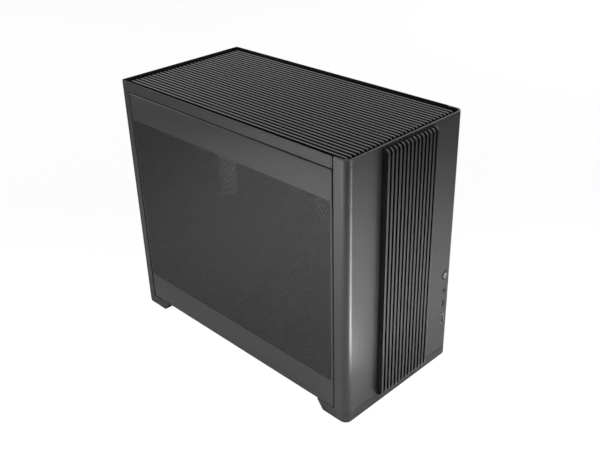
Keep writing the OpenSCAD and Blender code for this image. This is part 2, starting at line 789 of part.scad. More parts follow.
// Fan rotor: hub cup with its shaft and slanted blades.
module fan_rotor() {
    cup_t = 2;
    cup_z = 2;
    cup_l = fan_t - 4 - 0.8 - cup_z;
    color("dimgray") in_rear_fan() {
        difference() {
            translate([0, 0, cup_z]) cylinder(h = cup_l, r = hub_r - 0.5);
            translate([0, 0, cup_z + cup_t]) cylinder(h = cup_l, r = hub_r - 0.5 - cup_t);
        }
        translate([0, 0, cup_z + cup_t - 0.5]) cylinder(h = fan_t - 8, r = shaft_r);
        for (i = [0:blades - 1]) rotate(i * 360 / blades) intersection() {
            difference() {
                translate([0, 0, cup_z + 0.5]) cylinder(h = cup_l - 1, r = blade_r);
                cylinder(h = fan_t, r = hub_r - 1);
            }
            translate([blade_r / 2 + 10, 0, cup_z + cup_l / 2]) rotate([blade_angle, 0, 0])
                cube([blade_r, 40, 1.6], center = true);
        }
    }
}

// The four screws that hold the fan, from outside.
module fan_screws() {
    color("silver") for (sx = [-1, 1], sz = [-1, 1]) {
        x = fan_x + sx * fan_bolts / 2;
        z = fan_z + sz * fan_bolts / 2;
        bar_y(rear_y, rear_y + head_t, x, z, head_r);
        bar_y(rear_y - sheet_t - fan_screw_l, rear_y, x, z, fan_hole_r - screw_gap);
    }
}

// Rubber grommets in the tray's cable openings.
module cable_grommets() {
    color("black") for (z = grommet_zs) difference() {
        union() {
            grommet_opening(tray_x - grommet_lip_t, sheet_t + 2 * grommet_lip_t, z, 0);
            grommet_opening(tray_x - grommet_lip_t, grommet_lip_t, z, grommet_lip);
            grommet_opening(tray_x + sheet_t, grommet_lip_t, z, grommet_lip);
        }
        grommet_opening(tray_x - 2 * grommet_lip_t, sheet_t + 4 * grommet_lip_t, z, -grommet_lip);
    }
}

// Hollow front foot across the case, flush with the front and the sides.
module front_foot() {
    color("black") difference() {
        intersection() {
            run_x(-half_w, half_w) polygon([[front_y, pad_t], [front_foot_y1, pad_t],
                [front_foot_y1 + foot_slope, underside_z], [front_y, underside_z]]);
            linear_extrude(underside_z)
                plan(half_w, front_y, front_foot_y1 + foot_slope + 5, corner_r, 1);
        }
        foot_hollow(front_y + foot_wall, front_foot_y1 - foot_wall);
    }
}

// Hollow rear foot across the case, with a raked rear face.
module rear_foot() {
    color("black") difference() {
        intersection() {
            run_x(-half_w, half_w) polygon([[rear_foot_y0, pad_t], [rear_y - foot_rake, pad_t],
                [rear_y, underside_z], [rear_foot_y0 - foot_slope, underside_z]]);
            linear_extrude(underside_z)
                plan(half_w, rear_foot_y0 - foot_slope - 5, rear_y, 1, rear_r);
        }
        foot_hollow(rear_foot_y0 + foot_wall, rear_y - foot_rake - foot_wall);
    }
}

// Two open-topped hollows inside a foot, with a rib between them.
module foot_hollow(y0, y1) {
    for (side = [-1, 1])
        translate([side * (half_w / 2 - corner_r / 4) - (half_w / 2 - corner_r / 2), y0,
            pad_t + foot_wall])
            cube([half_w - corner_r, y1 - y0, underside_z]);
}

// Four rubber pads, one under each end of both feet.
module foot_pads() {
    color("dimgray") for (side = [-1, 1], y = pad_ys) translate([side * pad_x, y, 0])
        linear_extrude(pad_t) stadium(pad_l, pad_w);
}

// Dust filter under the base, held by magnets between the feet.
module bottom_filter() {
    filter_t = 1.6;
    filter_w = 150;
    filter_l = 150;
    color("dimgray") difference() {
        translate([-filter_w / 2, 40 - filter_l / 2, underside_z - filter_t])
            cube([filter_w, filter_l, filter_t]);
        translate([8 - filter_w / 2, 48 - filter_l / 2, underside_z - filter_t - 1])
            cube([filter_w - 16, filter_l - 16, filter_t - 0.6 + 1]);
    }
}

// Turns what is drawn lying about the Y axis upright, at the inlet's place.
module at_inlet() {
    translate([inlet_x, 0, inlet_z]) rotate([0, 90, 0]) children();
}

// Mains inlet socket, let in from inside the rear panel.
module mains_inlet() {
    w = inlet_w / 2;
    h = inlet_h / 2;
    fit = 0.1;
    ear = inlet_bolts / 2 + 5;
    color("black") at_inlet() difference() {
        union() {
            block([fit - w, rear_y - inlet_l, fit - h], [w - fit, rear_y, h - fit]);
            block([-ear, bay_y1 - inlet_flange_t, -h - 1], [ear, bay_y1, h + 1]);
        }
        block([inlet_wall - w, rear_y - prong_l - 2, inlet_wall - h],
            [w - inlet_wall, rear_y + 1, h - inlet_wall]);
        for (side = [-1, 1]) bar_y(rear_y - 10, rear_y + 1, side * inlet_bolts / 2, 0, inlet_hole_r);
    }
}

// The inlet's three contact blades.
module inlet_prongs() {
    blade_t = 2;
    blade_w = 4;
    color("gold") at_inlet() for (place = [[-7, -2], [7, -2], [0, 2]])
        translate([place[0] - blade_t / 2, rear_y - prong_l - 2, place[1] - blade_w / 2])
            cube([blade_t, prong_l, blade_w]);
}

// The inlet's two screws.
module inlet_screws() {
    color("silver") at_inlet() for (side = [-1, 1]) {
        bar_y(rear_y, rear_y + head_t, side * inlet_bolts / 2, 0, inlet_head_r);
        bar_y(bay_y1 - inlet_screw_l, rear_y, side * inlet_bolts / 2, 0, inlet_hole_r - screw_gap);
    }
}

// Circuit board behind the front ports.
module io_board() {
    color("darkgreen") difference() {
        block([io_x - io_board_w / 2, board_y, io_z0], [io_x + io_board_w / 2, board_y + board_t, io_z1]);
        for (z = io_screw_zs)
            bar_y(board_y - 1, board_y + board_t + 1, io_x, z, io_screw_r + screw_gap);
    }
}

// The port board's two screws.
module io_screws() {
    color("silver") for (z = io_screw_zs) {
        bar_y(board_y - 1.2, board_y, io_x, z, 2.1);
        bar_y(board_y, frame_y, io_x, z, io_screw_r);
    }
}

// Steel shell of the large data port.
module large_port_shell() {
    w = large_port_w / 2;
    h = large_port_h / 2;
    color("silver") difference() {
        block([io_x - w, front_y, large_port_z - h], [io_x + w, board_y, large_port_z + h]);
        block([io_x - w + shell_t, front_y - 1, large_port_z - h + shell_t],
            [io_x + w - shell_t, board_y - 1, large_port_z + h - shell_t]);
    }
}

// Contact tongue inside the large data port.
module large_port_tongue() {
    w = large_port_w / 2 - shell_t;
    color("royalblue") translate([io_x + w - 2.4, front_y + 1.5, large_port_z - large_port_h / 2 + 1.4])
        cube([1.9, board_depth - 2.5, large_port_h - 2.8]);
}

// Rounded steel shell of the small data port.
module small_port_shell() {
    color("silver") translate([io_x, board_y, small_port_z]) rotate([90, 0, 0]) difference() {
        linear_extrude(board_depth) rotate(90) stadium(small_port_h, small_port_w);
        translate([0, 0, 1]) linear_extrude(board_depth)
            rotate(90) stadium(small_port_h - 2 * shell_t, small_port_w - 2 * shell_t);
    }
}

// Contact tongue inside the small data port.
module small_port_tongue() {
    color("black") translate([io_x - 0.35, front_y + 1, small_port_z - small_port_h / 2 + 1.7])
        cube([0.7, board_depth - 2, small_port_h - 3.4]);
}

// Round audio jack with its bore.
module audio_jack() {
    color("black") difference() {
        union() {
            bar_y(front_y, board_y, io_x, jack_z, jack_r);
            block([io_x - 3.4, front_y + bezel_wall + 1, jack_z - 3.4], [io_x + 3.4, board_y, jack_z + 3.4]);
        }
        bar_y(front_y - 1, front_y + board_depth - 1.5, io_x, jack_z, jack_bore_r);
    }
}

// Switch body on the port board, with the guide bore of the button's stem.
module power_switch() {
    color("black") difference() {
        block([io_x - 4.5, switch_y, button_z - 4.5], [io_x + 4.5, board_y, button_z + 4.5]);
        bar_y(switch_y - 1, board_y - 1, io_x, button_z, stem_r + 0.08);
    }
}

// Round power button: cap, retaining flange and stem.
module power_button() {
    color("dimgray") {
        bar_y(front_y - button_out, cap_back, io_x, button_z, button_r);
        bar_y(cap_back, cap_back + button_flange_t, io_x, button_z, button_r + button_flange);
        bar_y(cap_back, switch_y + 2.8, io_x, button_z, stem_r);
    }
}

// Snap sockets in the chassis flanges, four to a side.
module panel_sockets() {
    lip_r = socket_r + 1.5;
    color("black") for (side = [-1, 1], y = stud_ys, z = stud_zs)
        translate([side * flange_x, y, z]) rotate([0, -90 * side, 0]) difference() {
            union() {
                cylinder(h = socket_l, r = socket_r);
                translate([0, 0, sheet_t]) cylinder(h = 1, r = lip_r);
            }
            translate([0, 0, -1]) cylinder(h = socket_l + 2, r = socket_bore_r);
        }
}

// Left side panel: plain sheet with hemmed edges and the perforated field.
// Two rows of narrow openings give the field its open area.
module side_panel() {
    row_h = (field_z1 - field_z0 - opening_web) / 2;
    count = floor((field_y1 - field_y0) / opening_pitch);
    start = (field_y0 + field_y1 - count * opening_pitch) / 2;
    hem = flange_gap - part_gap;
    difference() {
        union() {
            block([-half_w, panel_y0, panel_z0], [panel_t - half_w, panel_y1, panel_z1]);
            block([-half_w, panel_y0, panel_z0], [panel_t + hem - half_w, panel_y1, panel_z0 + panel_t]);
            block([-half_w, panel_y0, panel_z1 - panel_t], [panel_t + hem - half_w, panel_y1, panel_z1]);
        }
        for (i = [0:count - 1], row = [0, 1])
            translate([-half_w - 1, start + (i + 0.5) * opening_pitch - opening_w / 2,
                field_z0 + row * (row_h + opening_web)])
                cube([panel_t + 2, opening_w, row_h]);
    }
}

// The four ball studs of the left side panel.
module side_studs() {
    for (y = stud_ys, z = stud_zs) {
        bar_x(panel_t - half_w, panel_t + stud_foot_t - half_w, y, z, stud_foot_r);
        bar_x(panel_t - half_w, -ball_x, y, z, neck_r);
        translate([-ball_x, y, z]) sphere(ball_r);
    }
}

module left_panel() { color("dimgray") side_panel(); }
module left_panel_studs() { color("silver") side_studs(); }
module right_panel() { color("dimgray") mirror([1, 0, 0]) side_panel(); }
module right_panel_studs() { color("silver") mirror([1, 0, 0]) side_studs(); }

// Ribbed vent grille of the top, with slots in its grooves and feet on the top frame.
module top_grille() {
    slots_y0 = top_rib_y0 + 8;
    slots_l = top_rib_y1 - top_rib_y0 - 16;
    segment = (slots_l - (groove_slots - 1) * slot_bar) / groove_slots;
    inner_r = corner_r - bezel_wall - part_gap;
    color("black") {
        difference() {
            translate([0, 0, grille_z]) linear_extrude(grille_t)
                plan(grille_half_w, grille_y0, grille_y1, inner_r, rear_r);
            for (i = [0:top_ribs - 2], k = [0:groove_slots - 1])
                translate([top_rib_x(i) + top_rib_w / 2, slots_y0 + k * (segment + slot_bar),
                    grille_z - 1])
                    cube([top_pitch - top_rib_w, segment, grille_t + 2]);
        }
        for (i = [0:top_ribs - 1]) run_x(top_rib_x(i) - top_rib_w / 2, top_rib_x(i) + top_rib_w / 2)
            top_rib_profile();
        for (side = [-1, 1], y = grille_foot_ys)
            translate([side * grille_foot_x, y, band_z + sheet_t + part_gap])
                cylinder(h = grille_z - band_z - sheet_t - part_gap, r = grille_foot_r);
    }
}

function top_rib_x(i) = (i - (top_ribs - 1) / 2) * top_pitch;

// Side view of one top rib, with its two upper ends rounded.
module top_rib_profile() {
    y0 = top_rib_y0;
    y1 = top_rib_y1;
    translate([y0, grille_top]) square([y1 - y0, top_rib_h - top_nose_r]);
    translate([y0 + top_nose_r, grille_top]) square([y1 - y0 - 2 * top_nose_r, top_rib_h]);
    for (y = [y0 + top_nose_r, y1 - top_nose_r])
        translate([y, rib_top - top_nose_r]) circle(top_nose_r);
}

// Moulded front: rounded shell with ledges, the strip's seat, port holes and pegs.
module front_bezel() {
    ledge_y1 = front_y + bezel_d - part_gap;
    inner_r = corner_r - bezel_wall;
    color("black") difference() {
        union() {
            translate([0, 0, panel_z0]) linear_extrude(body_h - panel_z0) difference() {
                bezel_plan(0, 0);
                bezel_plan(bezel_wall, 1);
            }
            for (z = [panel_z0, ledge_z]) translate([0, 0, z]) linear_extrude(bezel_wall)
                bezel_plan(bezel_wall / 2, -part_gap);
            for (side = [-1, 1], z = peg_zs)
                bar_y(front_y + bezel_wall / 2, frame_y + sheet_t + peg_past, side * peg_x, z, peg_r);
        }
        block([-strip_w / 2, front_y - 1, seat_z0], [strip_w / 2, front_y + bezel_wall + 1, seat_z1]);
        for (hole = [[button_z, button_r], [jack_z, jack_r]])
            bar_y(front_y - 1, cap_back, io_x, hole[0], hole[1] + button_gap);
        port_cut(large_port_z, large_port_w, large_port_h);
        port_cut(small_port_z, small_port_w, small_port_h);
    }
}

// Opening of the bezel round one data port.
module port_cut(z, w, h) {
    translate([io_x - w / 2 - button_gap, front_y - 1, z - h / 2 - button_gap])
        cube([w + 2 * button_gap, bezel_wall + 1.2, h + 2 * button_gap]);
}

// Plan of the bezel: round front corners and an open, square back.
module bezel_plan(inset, past) {
    r = corner_r - inset;
    difference() {
        plan(half_w - inset, front_y + inset, front_y + bezel_d + 20, r, 1);
        translate([-half_w - 1, front_y + bezel_d + past]) square([body_w + 2, 40]);
    }
}

// Ribbed strip: flush base in the bezel's seat, flange behind it and ribs in front.
module front_strip() {
    half = strip_w / 2;
    color("black") {
        block([-half, front_y, seat_z0], [half, front_y + bezel_wall, seat_z1]);
        block([-half - strip_flange, front_y + bezel_wall, seat_z0 - strip_flange],
            [half + strip_flange, front_y + bezel_wall + strip_flange_t, seat_z1 + strip_flange]);
        for (i = [0:strip_ribs - 1]) {
            x = (i - (strip_ribs - 1) / 2) * strip_pitch;
            run_x(x - strip_rib_w / 2, x + strip_rib_w / 2) strip_rib_profile();
        }
    }
}

// Side view of one rib of the strip, with its two outer ends rounded.
module strip_rib_profile() {
    y0 = front_y - strip_out;
    r = strip_nose_r;
    translate([y0 + r, strip_z0]) square([strip_out - r, strip_z1 - strip_z0]);
    translate([front_y - r / 2, seat_z0]) square([r, seat_z1 - seat_z0]);
    translate([y0, strip_z0 + r]) square([strip_out, strip_z1 - strip_z0 - 2 * r]);
    for (z = [strip_z0 + r, strip_z1 - r]) intersection() {
        translate([y0 + r, z]) circle(r);
        translate([y0, z - r]) square([strip_out, 2 * r]);
    }
}

base_pan();
front_frame();
rear_panel();
top_frame();
motherboard_tray();
standoffs();
psu_bracket();
psu_bracket_screws();
drive_bracket();
drive_bracket_screws();
slot_cover(0);  // slot_cover_1
slot_cover(1);  // slot_cover_2
slot_cover(2);  // slot_cover_3
slot_cover(3);  // slot_cover_4
slot_screws();
fan_frame();
fan_screws();
fan_rotor();
cable_grommets();
front_foot();
rear_foot();
foot_pads();
bottom_filter();
mains_inlet();
inlet_prongs();
inlet_screws();
io_board();
io_screws();
large_port_shell();
large_port_tongue();
small_port_shell();
small_port_tongue();
audio_jack();
power_switch();
power_button();
panel_sockets();
left_panel();
left_panel_studs();
right_panel();
right_panel_studs();
top_grille();
front_bezel();
front_strip();
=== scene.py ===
# %% [markdown]
# # A compact computer case, finished for the eye
# The solid model of the case comes first, as a fixed frame. Everything that follows gives it
# the looks of the real thing: sheet steel with real perforation, moulded ribs with soft
# edges, powder coat, satin plastic and bright plated ports.

import json
import math

import bmesh
import bpy
from mathutils import Matrix, Vector

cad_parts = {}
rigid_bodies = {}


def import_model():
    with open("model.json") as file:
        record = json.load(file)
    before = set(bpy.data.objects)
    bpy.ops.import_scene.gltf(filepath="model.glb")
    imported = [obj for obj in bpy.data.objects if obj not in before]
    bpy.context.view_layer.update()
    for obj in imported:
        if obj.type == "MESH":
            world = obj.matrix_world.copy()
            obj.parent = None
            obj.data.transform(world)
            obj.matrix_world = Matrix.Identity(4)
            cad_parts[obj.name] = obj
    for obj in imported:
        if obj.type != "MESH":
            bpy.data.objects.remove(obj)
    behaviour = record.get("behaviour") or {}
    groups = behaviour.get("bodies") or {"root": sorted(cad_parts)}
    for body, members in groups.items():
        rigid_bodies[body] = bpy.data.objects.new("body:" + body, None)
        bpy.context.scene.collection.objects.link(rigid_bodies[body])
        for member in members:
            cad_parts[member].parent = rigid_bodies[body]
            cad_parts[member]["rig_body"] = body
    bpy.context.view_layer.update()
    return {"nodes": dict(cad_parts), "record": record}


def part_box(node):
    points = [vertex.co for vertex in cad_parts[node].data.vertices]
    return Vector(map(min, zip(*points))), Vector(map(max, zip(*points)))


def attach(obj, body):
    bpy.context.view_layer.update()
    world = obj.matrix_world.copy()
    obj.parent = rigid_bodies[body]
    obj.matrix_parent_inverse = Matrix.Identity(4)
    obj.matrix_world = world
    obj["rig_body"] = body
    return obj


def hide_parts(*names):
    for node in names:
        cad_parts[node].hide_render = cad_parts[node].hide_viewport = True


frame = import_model()
nodes = frame["nodes"]
MM = 0.001
slot_of = {part["node"]: part["material_slot"] for part in frame["record"]["subparts"]}

# %% [markdown]
# ## Camera
# The camera stands where the photographer stood: high, in front and to the left of the case.
# Its three angles, its distance and its lens come from fitting a plain box of the case's
# size to the six outer edges that the picture shows.

# %% Place the camera
BOX_CENTRE = Vector((0.0, 3.0, 177.8)) * MM
CASE_WIDTH = 205.0 * MM
TURN, RISE, ROLL = (math.radians(a) for a in (-44.21, 28.35, -1.58))
OFFSET = Vector((-0.0919, 0.0518, 5.3674)) * CASE_WIDTH
LENS_PIXELS, IMAGE_WIDTH, SENSOR = 808.1, 600, 36.0

back = Vector((
    math.sin(TURN) * math.cos(RISE),
    -math.cos(TURN) * math.cos(RISE),
    math.sin(RISE),
))
level_right = (-back).cross(Vector((0, 0, 1))).normalized()
level_up = level_right.cross(-back)
right = math.cos(ROLL) * level_right + math.sin(ROLL) * level_up
up = math.cos(ROLL) * level_up - math.sin(ROLL) * level_right
place = BOX_CENTRE - OFFSET.x * right - OFFSET.y * up + OFFSET.z * back

camera_data = bpy.data.cameras.new("camera")
camera_data.sensor_width = SENSOR
camera_data.lens = LENS_PIXELS / IMAGE_WIDTH * SENSOR
camera = bpy.data.objects.new("camera", camera_data)
bpy.context.scene.collection.objects.link(camera)
camera.matrix_world = Matrix.Translation(place) @ Matrix((right, up, back)).transposed().to_4x4()
bpy.context.scene.camera = camera
bpy.context.scene.view_settings.view_transform = "Standard"
print("camera at mm", [round(v / MM) for v in place], "lens", round(camera_data.lens, 2))

# %% [markdown]
# ## Working by hand in edit mode
# An operator acts on whatever is selected. These helpers clear the selection, make one piece
# the active one, and select only the faces, edges or corners that pass a test, so that each
# extrude, inset or bevel touches what it is meant to.

# %% Selection helpers
def activate(piece):
    bpy.ops.object.select_all(action="DESELECT")
    piece.select_set(True)
    bpy.context.view_layer.objects.active = piece


def settle(piece):
    activate(piece)
    bpy.ops.object.transform_apply(location=True, rotation=True, scale=True)
    return piece


def pick(piece, kind, test):
    activate(piece)
    bpy.ops.object.mode_set(mode="EDIT")
    bpy.ops.mesh.select_mode(type=kind)
    bpy.ops.mesh.select_all(action="DESELECT")
    mesh = bmesh.from_edit_mesh(piece.data)
    items = {"VERT": mesh.verts, "EDGE": mesh.edges, "FACE": mesh.faces}[kind]
    chosen = [item for item in items if test(item)]
    for item in chosen:
        item.select_set(True)
    bmesh.update_edit_mesh(piece.data)
    return len(chosen)


def leave_edit():
    bpy.ops.object.mode_set(mode="OBJECT")


def apply_modifier(piece, kind, **settings):
    activate(piece)
    modifier = piece.modifiers.new(kind.lower(), kind)
    for key, setting in settings.items():
        setattr(modifier, key, setting)
    bpy.ops.object.modifier_apply(modifier=modifier.name)


def triangles(piece):
    return sum(len(face.vertices) - 2 for face in piece.data.polygons)


# %% Start from a block, and copy a finished shape
def block(name, low, high):
    bpy.ops.object.select_all(action="DESELECT")
    low, high = Vector(low) * MM, Vector(high) * MM
    bpy.ops.mesh.primitive_cube_add(size=1, location=(low + high) / 2, scale=high - low)
    piece = bpy.context.object
    piece.name = name
    return settle(piece)


def rod(name, radius, z0, z1, sides=32):
    bpy.ops.object.select_all(action="DESELECT")
    bpy.ops.mesh.primitive_cylinder_add(
        vertices=sides, radius=radius * MM, depth=(z1 - z0) * MM, location=(0, 0, (z0 + z1) / 2 * MM))
    piece = bpy.context.object
    piece.name = name
    return settle(piece)


def copy_of(piece, name, matrix):
    twin = bpy.data.objects.new(name, piece.data.copy())
    bpy.context.scene.collection.objects.link(twin)
    twin.data.transform(matrix)
    if matrix.determinant() < 0:
        twin.data.flip_normals()
    return twin


def join(pieces, name):
    activate(pieces[0])
    for piece in pieces:
        piece.select_set(True)
    bpy.ops.object.join()
    bpy.context.object.name = name
    return bpy.context.object


# %% [markdown]
# ## Soft edges
# No real edge is perfectly sharp: steel is deburred and coated, and plastic leaves its mould
# with a small radius. Such an edge catches a thin line of light, which is most of what the
# eye sees of a black object. The solid's own mesh is loose triangles, so a copy is merged,
# its flat faces are made whole again, and every sharp edge gets a bevel of the right width.
# Weighted normals then keep the flat faces flat to the light, and only the bevels turn it.

# %% Round the edges of a copy of a solid
def soften(piece, radius, steps=2, sharp=35):
    activate(piece)
    bpy.ops.object.mode_set(mode="EDIT")
    bpy.ops.mesh.select_mode(type="EDGE")
    bpy.ops.mesh.select_all(action="DESELECT")
    bpy.ops.mesh.edges_select_sharp(sharpness=math.radians(sharp))
    bpy.ops.mesh.bevel(offset=radius * MM, segments=steps, affect="EDGES", clamp_overlap=False)
    leave_edit()
    bpy.ops.object.shade_smooth_by_angle(angle=math.radians(50))
    apply_modifier(piece, "WEIGHTED_NORMAL", keep_sharp=True)
    return piece


def merged_copy(node, name):
    piece = bpy.data.objects.new(name, nodes[node].data.copy())
    bpy.context.scene.collection.objects.link(piece)
    piece.data.materials.clear()
    activate(piece)
    bpy.ops.object.mode_set(mode="EDIT")
    bpy.ops.mesh.select_all(action="SELECT")
    bpy.ops.mesh.remove_doubles(threshold=0.002 * MM)
    bpy.ops.mesh.dissolve_limited(angle_limit=math.radians(0.6))
    leave_edit()
    return piece


def softened(node, name, radius, steps=2, sharp=35):
    piece = soften(merged_copy(node, name), radius, steps, sharp)
    print(name, "has", triangles(piece), "triangles")
    return piece


# %% [markdown]
# ## Shader arithmetic
# A pattern is a sum: some grain, plus some mottling, times a strength. Written with the
# node editor's Math nodes that is long to read, so a small class lets Python's own signs add
# the nodes. Another class starts a finish and adds any other node in one line.

# %% A socket that Python arithmetic can combine
class Amount:
    def __init__(self, finish, socket):
        self.finish = finish
        self.socket = socket

    def combine(self, operation, first, second):
        node = self.finish.add("ShaderNodeMath", {"operation": operation}, {0: first, 1: second})
        return Amount(self.finish, node.outputs[0])

    def __add__(self, other):
        return self.combine("ADD", self, other)

    __radd__ = __add__

    def __sub__(self, other):
        return self.combine("SUBTRACT", self, other)

    def __rsub__(self, other):
        return self.combine("SUBTRACT", other, self)

    def __mul__(self, other):
        return self.combine("MULTIPLY", self, other)

    __rmul__ = __mul__


# %% A finish: one material and its nodes
class Finish:
    def __init__(self, name, **uniform):
        self.material = bpy.data.materials.new(name)
        self.material.use_nodes = True
        self.tree = self.material.node_tree
        self.surface = self.tree.nodes["Principled BSDF"]
        self.place = self.add("ShaderNodeTexCoord").outputs["Object"]
        for socket, value in uniform.items():
            self.surface.inputs[socket.replace("_", " ")].default_value = value

    def add(self, kind, settings=None, inputs=None):
        node = self.tree.nodes.new(kind)
        for key, value in (settings or {}).items():
            setattr(node, key, value)
        for key, value in (inputs or {}).items():
            self.feed(node.inputs[key], value)
        return node

    def feed(self, socket, value):
        if isinstance(value, Amount):
            value = value.socket
        if isinstance(value, bpy.types.NodeSocket):
            self.tree.links.new(value, socket)
        else:
            socket.default_value = value

    def stretched(self, x, y, z):
        return self.add("ShaderNodeMapping", {"vector_type": "POINT"},
                        {"Vector": self.place, "Scale": (x, y, z)}).outputs["Vector"]

    def noise(self, size_mm, detail=2.0, where=None):
        node = self.add("ShaderNodeTexNoise", None, {
            "Vector": where or self.place, "Scale": 1000.0 / size_mm, "Detail": detail})
        return Amount(self, node.outputs["Fac"])

    def pores(self, size_mm):
        node = self.add("ShaderNodeTexVoronoi", None, {
            "Vector": self.place, "Scale": 1000.0 / size_mm})
        return Amount(self, node.outputs["Distance"])

    def blend(self, amount, first, second):
        node = self.add("ShaderNodeMix", {"data_type": "RGBA"}, {0: amount, 6: first, 7: second})
        return node.outputs[2]

    def show(self, colour=None, roughness=None, height=None, depth_mm=0.05):
        if colour is not None:
            self.feed(self.surface.inputs["Base Color"], colour)
        if roughness is not None:
            self.feed(self.surface.inputs["Roughness"], roughness)
        if height is not None:
            bump = self.add("ShaderNodeBump", None, {
                "Strength": 1.0, "Distance": depth_mm * MM, "Height": height})
            self.feed(self.surface.inputs["Normal"], bump.outputs["Normal"])
        return self


def grey(tone, warmth=0.0):
    return (tone * (1 + warmth), tone, tone * (1 - warmth), 1.0)


# %% [markdown]
# ## Finishes
# Nearly all of the case is black, and only the surface tells one black from another.
# Powder-coated steel has a fine pebbled skin. The moulded front is satin, with a faint spark
# texture. The ribs come from the same mould shop and are a little smoother. They are a darker
# moulding, and their colour is set darker still, which paints deeper shade into the narrow grooves
# between them.

# %% Powder-coated steel
def powder_coat(name, tone, roughness, grain_mm=0.55, depth_mm=0.03):
    coat = Finish(name, Specular_IOR_Level=0.5)
    grain = coat.noise(grain_mm, 1.5)
    mottle = coat.noise(38, 3)
    colour = coat.blend(mottle, grey(tone * 0.9, 0.01), grey(tone * 1.12, 0.01))
    coat.show(colour, roughness + 0.1 * (grain - 0.5) + 0.06 * (mottle - 0.5),
              0.75 * grain + 0.25 * coat.noise(grain_mm * 3, 1), depth_mm)
    return coat.material


# %% Moulded plastic
def moulded(name, tone, roughness, grain_mm=0.4, depth_mm=0.015, tint=(1, 1, 1)):
    skin = Finish(name, Specular_IOR_Level=0.5)
    spark = skin.pores(grain_mm)
    flow = skin.noise(60, 2)
    thin, thick = ((*(tone * shade * part for part in tint), 1) for shade in (0.93, 1.08))
    colour = skin.blend(flow, thin, thick)
    skin.show(colour, roughness + 0.12 * (spark - 0.5) + 0.05 * (flow - 0.5), spark, depth_mm)
    return skin.material


# %% Rubber
def rubbery(name, tone):
    skin = Finish(name, Specular_IOR_Level=0.35)
    dust = skin.noise(9, 4)
    grain = skin.noise(0.8, 3)
    skin.show(skin.blend(dust, grey(tone * 0.85), grey(tone * 1.3)), 0.7 + 0.2 * (dust - 0.5),
              grain, 0.06)
    return skin.material


# %% Plated and plain metal
def metal(name, colour, roughness, stretch=(1, 1, 14), depth_mm=0.01):
    plate = Finish(name, Metallic=1.0)
    draw = plate.noise(1.2, 3, plate.stretched(*stretch))
    tarnish = plate.noise(5, 2)
    dark = tuple(c * 0.8 for c in colour[:3]) + (1.0,)
    plate.show(plate.blend(tarnish, dark, colour), roughness + 0.15 * (draw - 0.5), draw, depth_mm)
    return plate.material


# %% Printed circuit board
def circuit_board(name):
    board = Finish(name, Specular_IOR_Level=0.5, Coat_Weight=0.4)
    tracks = board.add("ShaderNodeTexBrick", {"offset": 0.5}, {
        "Vector": board.place, "Scale": 260.0, "Mortar Size": 0.012,
        "Color1": (0.005, 0.07, 0.03, 1), "Color2": (0.007, 0.085, 0.035, 1),
        "Mortar": (0.02, 0.16, 0.06, 1)})
    board.show(tracks.outputs["Color"], 0.3 + 0.15 * (board.noise(3) - 0.5),
               1 - Amount(board, tracks.outputs["Fac"]), 0.02)
    return board.material


# %% Woven dust filter
def filter_cloth(name):
    cloth = Finish(name, Specular_IOR_Level=0.3)
    threads = [
        Amount(cloth, cloth.add(
            "ShaderNodeTexWave", {"bands_direction": axis, "wave_profile": "SIN"},
            {"Vector": cloth.place, "Scale": 250.0}).outputs["Fac"]) for axis in "XY"]
    weave = threads[0] * threads[1]
    cloth.show(cloth.blend(weave, grey(0.006), grey(0.05)), 0.75 - 0.2 * weave, weave, 0.2)
    return cloth.material


# %% The finishes, by the record's slots
finishes = {
    "chassis_steel": powder_coat("chassis steel", 0.012, 0.45),
    "outer_steel": powder_coat("outer steel", 0.011, 0.4),
    "front_plastic": moulded("front moulding", 0.009, 0.34, depth_mm=0.004),
    # The ribs' low tone partly paints shade into the grooves between them.
    "rib_plastic": moulded("ribbed moulding", 0.004, 0.3, depth_mm=0.002),
    "foot_plastic": moulded("foot moulding", 0.01, 0.45),
    "inner_plastic": moulded("inner moulding", 0.009, 0.5),
    "rotor_plastic": moulded("rotor moulding", 0.015, 0.38),
    "button_plastic": moulded("button moulding", 0.009, 0.34),
    "rubber": rubbery("black rubber", 0.02),
    "filter_mesh": filter_cloth("dust filter cloth"),
    "screw_steel": metal("plated screws", (0.42, 0.42, 0.43, 1), 0.3),
    "port_steel": metal("bright port steel", (0.72, 0.72, 0.74, 1), 0.22),
    "port_blue": moulded("blue port tongue", 0.06, 0.35, tint=(0.08, 0.35, 1)),
    "brass": metal("turned brass", (0.5, 0.36, 0.16, 1), 0.42),
    "board": circuit_board("printed board"),
}
symbol_print = moulded("pale printed symbol", 0.75, 0.4)
# The small port's shell gets a dark steel: its colour paints the shade inside the port's recess.
port_steel_painted_shade = metal("port steel painted dark as shade", (0.12, 0.12, 0.13, 1), 0.4)
print(len(finishes), "finishes")


# %% [markdown]
# ## Hanging the pieces
# Every piece, new or carried over, takes its finish from the slot of its node, rides on the
# node's body, and stands for the node it is made from.

# %% Hang a finished piece on its body
def fit(piece, *stood_for, slot=None, body=None, finish=None):
    first = stood_for[0] if stood_for else None
    slot = slot or slot_of[first]
    piece.data.materials.clear()
    piece.data.materials.append(finish or finishes[slot])
    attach(piece, body or nodes[first]["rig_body"])
    if stood_for:
        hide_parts(*stood_for)
    return piece


# %% [markdown]
# ## Side panels
# Each side is one sheet of steel, 1 mm thick, folded in at its edges. Between its two plain
# bands it is punched with many thousand small openings, set cornerwise. Punching that many
# holes one by one would cost millions of faces. What is left between such openings is a
# lattice of straight webs, so one long thin bar is made, repeated across the field, and a
# mirrored set is laid through it. It has the same shape as the punched steel, and light
# falls through it onto the frame inside. The second set is a hair thinner, so that no two
# faces lie in one plane. The field keeps a plain band above and below it, in millimetres.

